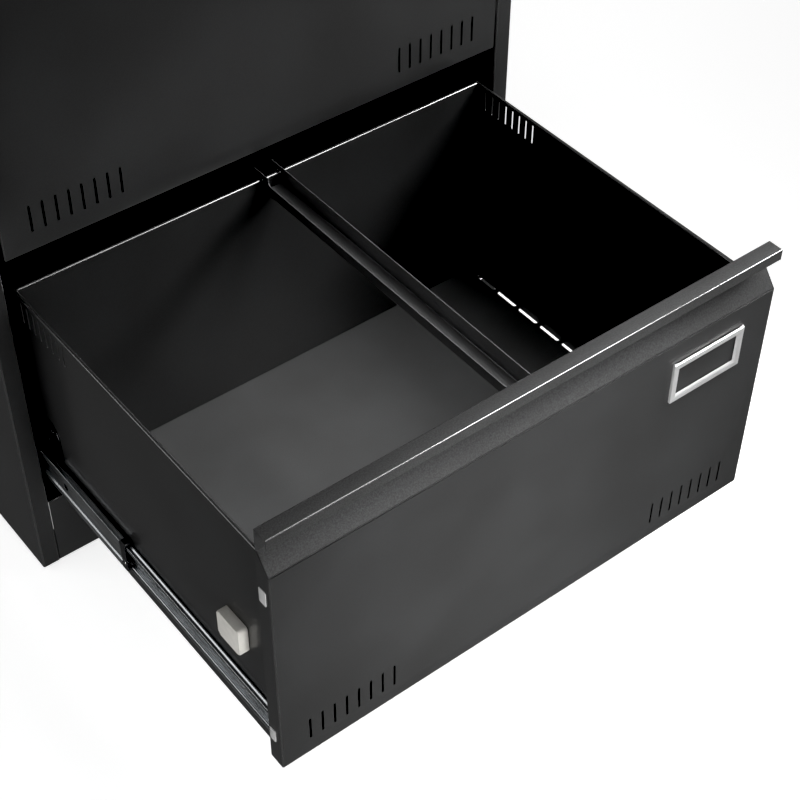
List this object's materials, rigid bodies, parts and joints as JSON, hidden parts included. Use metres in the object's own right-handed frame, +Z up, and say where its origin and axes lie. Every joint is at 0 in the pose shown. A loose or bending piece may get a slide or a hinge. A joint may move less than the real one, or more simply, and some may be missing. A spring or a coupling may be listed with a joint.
{
  "type": "metal filing cabinet",
  "caption": "Wide black steel lateral filing cabinet with telescoping drawers, finger-pull fronts, card holders and a hanging-file rail in each drawer.",
  "frame": {"origin": "on the ground, in the middle of the box around the cabinet with its lower drawer pulled out", "axes": "+Z up, +X to the right of a person who faces the drawers, drawers open towards -Y"},
  "size_m": [0.76, 1.0694, 0.93],
  "materials": {
    "side_panel_left": "fine black powder coat on folded sheet steel",
    "side_panel_right": "fine black powder coat on folded sheet steel",
    "top_panel": "fine black powder coat on folded sheet steel",
    "back_panel": "fine black powder coat on folded sheet steel",
    "kick_plate": "fine black powder coat on folded sheet steel",
    "rear_base_rail": "fine black powder coat on folded sheet steel",
    "bottom_shelf": "fine black powder coat on folded sheet steel",
    "top_rail": "fine black powder coat on folded sheet steel",
    "upright_front_left": "fine black powder coat on folded sheet steel",
    "upright_front_right": "fine black powder coat on folded sheet steel",
    "upright_rear_left": "fine black powder coat on folded sheet steel",
    "upright_rear_right": "fine black powder coat on folded sheet steel",
    "foot_front_left": "black nylon",
    "foot_front_right": "black nylon",
    "foot_rear_left": "black nylon",
    "foot_rear_right": "black nylon",
    "lock_housing": "satin nickel plate",
    "lock_plug": "satin nickel plate",
    "lock_cam": "bright zinc plate",
    "lock_bar": "bright zinc plate",
    "interlock_bar": "bright zinc plate",
    "lower_front_skin": "fine black powder coat on folded sheet steel",
    "lower_pull": "fine black powder coat on folded sheet steel",
    "lower_liner": "fine black powder coat on folded sheet steel",
    "lower_back_wall": "fine black powder coat on folded sheet steel",
    "lower_floor": "fine black powder coat on folded sheet steel",
    "lower_wall_left": "fine black powder coat on folded sheet steel",
    "lower_wall_right": "fine black powder coat on folded sheet steel",
    "lower_interlock_striker": "fine black powder coat on folded sheet steel",
    "lower_card_holder": "satin nickel plate",
    "lower_guide_left": "off-white nylon",
    "lower_guide_right": "off-white nylon",
    "lower_slide_left_cabinet": "bright zinc plate",
    "lower_slide_left_middle": "bright zinc plate",
    "lower_slide_left_drawer": "bright zinc plate",
    "lower_slide_right_cabinet": "bright zinc plate",
    "lower_slide_right_middle": "bright zinc plate",
    "lower_slide_right_drawer": "bright zinc plate",
    "lower_hanging_rail": "fine black powder coat on folded sheet steel",
    "upper_front_skin": "fine black powder coat on folded sheet steel",
    "upper_pull": "fine black powder coat on folded sheet steel",
    "upper_liner": "fine black powder coat on folded sheet steel",
    "upper_back_wall": "fine black powder coat on folded sheet steel",
    "upper_floor": "fine black powder coat on folded sheet steel",
    "upper_wall_left": "fine black powder coat on folded sheet steel",
    "upper_wall_right": "fine black powder coat on folded sheet steel",
    "upper_interlock_striker": "fine black powder coat on folded sheet steel",
    "upper_card_holder": "satin nickel plate",
    "upper_guide_left": "off-white nylon",
    "upper_guide_right": "off-white nylon",
    "upper_slide_left_cabinet": "bright zinc plate",
    "upper_slide_left_middle": "bright zinc plate",
    "upper_slide_left_drawer": "bright zinc plate",
    "upper_slide_right_cabinet": "bright zinc plate",
    "upper_slide_right_middle": "bright zinc plate",
    "upper_slide_right_drawer": "bright zinc plate",
    "upper_hanging_rail": "fine black powder coat on folded sheet steel"
  },
  "bodies": {
    "case": {"side_panel_left": "side_panel_left", "side_panel_right": "side_panel_right", "top_panel": "top_panel", "back_panel": "back_panel", "kick_plate": "kick_plate", "rear_base_rail": "rear_base_rail", "bottom_shelf": "bottom_shelf", "top_rail": "top_rail", "upright_front_left": "upright_front_left", "upright_front_right": "upright_front_right", "upright_rear_left": "upright_rear_left", "upright_rear_right": "upright_rear_right", "lock_housing": "lock_housing", "lower_slide_left_cabinet": "lower_slide_left_cabinet", "lower_slide_right_cabinet": "lower_slide_right_cabinet", "upper_slide_left_cabinet": "upper_slide_left_cabinet", "upper_slide_right_cabinet": "upper_slide_right_cabinet"},
    "foot_front_left": {"foot_front_left": "foot_front_left"},
    "foot_front_right": {"foot_front_right": "foot_front_right"},
    "foot_rear_left": {"foot_rear_left": "foot_rear_left"},
    "foot_rear_right": {"foot_rear_right": "foot_rear_right"},
    "lock_plug": {"lock_plug": "lock_plug", "lock_cam": "lock_cam"},
    "lock_bar": {"lock_bar": "lock_bar"},
    "interlock_bar": {"interlock_bar": "interlock_bar"},
    "lower_drawer": {"lower_front_skin": "lower_front_skin", "lower_pull": "lower_pull", "lower_liner": "lower_liner", "lower_back_wall": "lower_back_wall", "lower_floor": "lower_floor", "lower_wall_left": "lower_wall_left", "lower_wall_right": "lower_wall_right", "lower_interlock_striker": "lower_interlock_striker", "lower_card_holder": "lower_card_holder", "lower_guide_left": "lower_guide_left", "lower_guide_right": "lower_guide_right", "lower_slide_left_drawer": "lower_slide_left_drawer", "lower_slide_right_drawer": "lower_slide_right_drawer"},
    "lower_hanging_rail": {"lower_hanging_rail": "lower_hanging_rail"},
    "lower_slide_left_middle": {"lower_slide_left_middle": "lower_slide_left_middle"},
    "lower_slide_right_middle": {"lower_slide_right_middle": "lower_slide_right_middle"},
    "upper_drawer": {"upper_front_skin": "upper_front_skin", "upper_pull": "upper_pull", "upper_liner": "upper_liner", "upper_back_wall": "upper_back_wall", "upper_floor": "upper_floor", "upper_wall_left": "upper_wall_left", "upper_wall_right": "upper_wall_right", "upper_interlock_striker": "upper_interlock_striker", "upper_card_holder": "upper_card_holder", "upper_guide_left": "upper_guide_left", "upper_guide_right": "upper_guide_right", "upper_slide_left_drawer": "upper_slide_left_drawer", "upper_slide_right_drawer": "upper_slide_right_drawer"},
    "upper_hanging_rail": {"upper_hanging_rail": "upper_hanging_rail"},
    "upper_slide_left_middle": {"upper_slide_left_middle": "upper_slide_left_middle"},
    "upper_slide_right_middle": {"upper_slide_right_middle": "upper_slide_right_middle"}
  },
  "joints": [
    {"name": "lower_drawer_slide", "type": "slide", "parent": "case", "child": "lower_drawer", "axis": [0, -1, 0], "range_m": [-0.5, 0]},
    {"name": "lower_slide_left_middle_travel", "type": "slide", "parent": "case", "child": "lower_slide_left_middle", "axis": [0, -1, 0], "range_m": [-0.25, 0]},
    {"name": "lower_slide_right_middle_travel", "type": "slide", "parent": "case", "child": "lower_slide_right_middle", "axis": [0, -1, 0], "range_m": [-0.25, 0]},
    {"name": "lower_hanging_rail_shift", "type": "slide", "parent": "lower_drawer", "child": "lower_hanging_rail", "axis": [1, 0, 0], "range_m": [-0.3, 0.28]},
    {"name": "upper_drawer_slide", "type": "slide", "parent": "case", "child": "upper_drawer", "axis": [0, -1, 0], "range_m": [0, 0.5]},
    {"name": "upper_slide_left_middle_travel", "type": "slide", "parent": "case", "child": "upper_slide_left_middle", "axis": [0, -1, 0], "range_m": [0, 0.25]},
    {"name": "upper_slide_right_middle_travel", "type": "slide", "parent": "case", "child": "upper_slide_right_middle", "axis": [0, -1, 0], "range_m": [0, 0.25]},
    {"name": "upper_hanging_rail_shift", "type": "slide", "parent": "upper_drawer", "child": "upper_hanging_rail", "axis": [1, 0, 0], "range_m": [-0.3, 0.28]},
    {"name": "lock_turn", "type": "hinge", "parent": "case", "child": "lock_plug", "pos_m": [0.322, -0.02535, 0.911], "axis": [0, -1, 0], "range_deg": [0, 90]},
    {"name": "lock_bar_lift", "type": "slide", "parent": "case", "child": "lock_bar", "axis": [0, 0, 1], "range_m": [0, 0.012]},
    {"name": "interlock_bar_lift", "type": "slide", "parent": "case", "child": "interlock_bar", "axis": [0, 0, 1], "range_m": [0, 0.012]},
    {"name": "foot_front_left_height", "type": "slide", "parent": "case", "child": "foot_front_left", "axis": [0, 0, 1], "range_m": [-0.012, 0]},
    {"name": "foot_front_right_height", "type": "slide", "parent": "case", "child": "foot_front_right", "axis": [0, 0, 1], "range_m": [-0.012, 0]},
    {"name": "foot_rear_left_height", "type": "slide", "parent": "case", "child": "foot_rear_left", "axis": [0, 0, 1], "range_m": [-0.012, 0]},
    {"name": "foot_rear_right_height", "type": "slide", "parent": "case", "child": "foot_rear_right", "axis": [0, 0, 1], "range_m": [-0.012, 0]}
  ],
  "couplings": [
    {"joint": "lower_slide_left_middle_travel", "follows": "lower_drawer_slide", "ratio": 0.5},
    {"joint": "lower_slide_right_middle_travel", "follows": "lower_drawer_slide", "ratio": 0.5},
    {"joint": "upper_slide_left_middle_travel", "follows": "upper_drawer_slide", "ratio": 0.5},
    {"joint": "upper_slide_right_middle_travel", "follows": "upper_drawer_slide", "ratio": 0.5},
    {"joint": "lock_turn", "follows": "lock_bar_lift", "rad_per_m": 130.8}
  ]
}
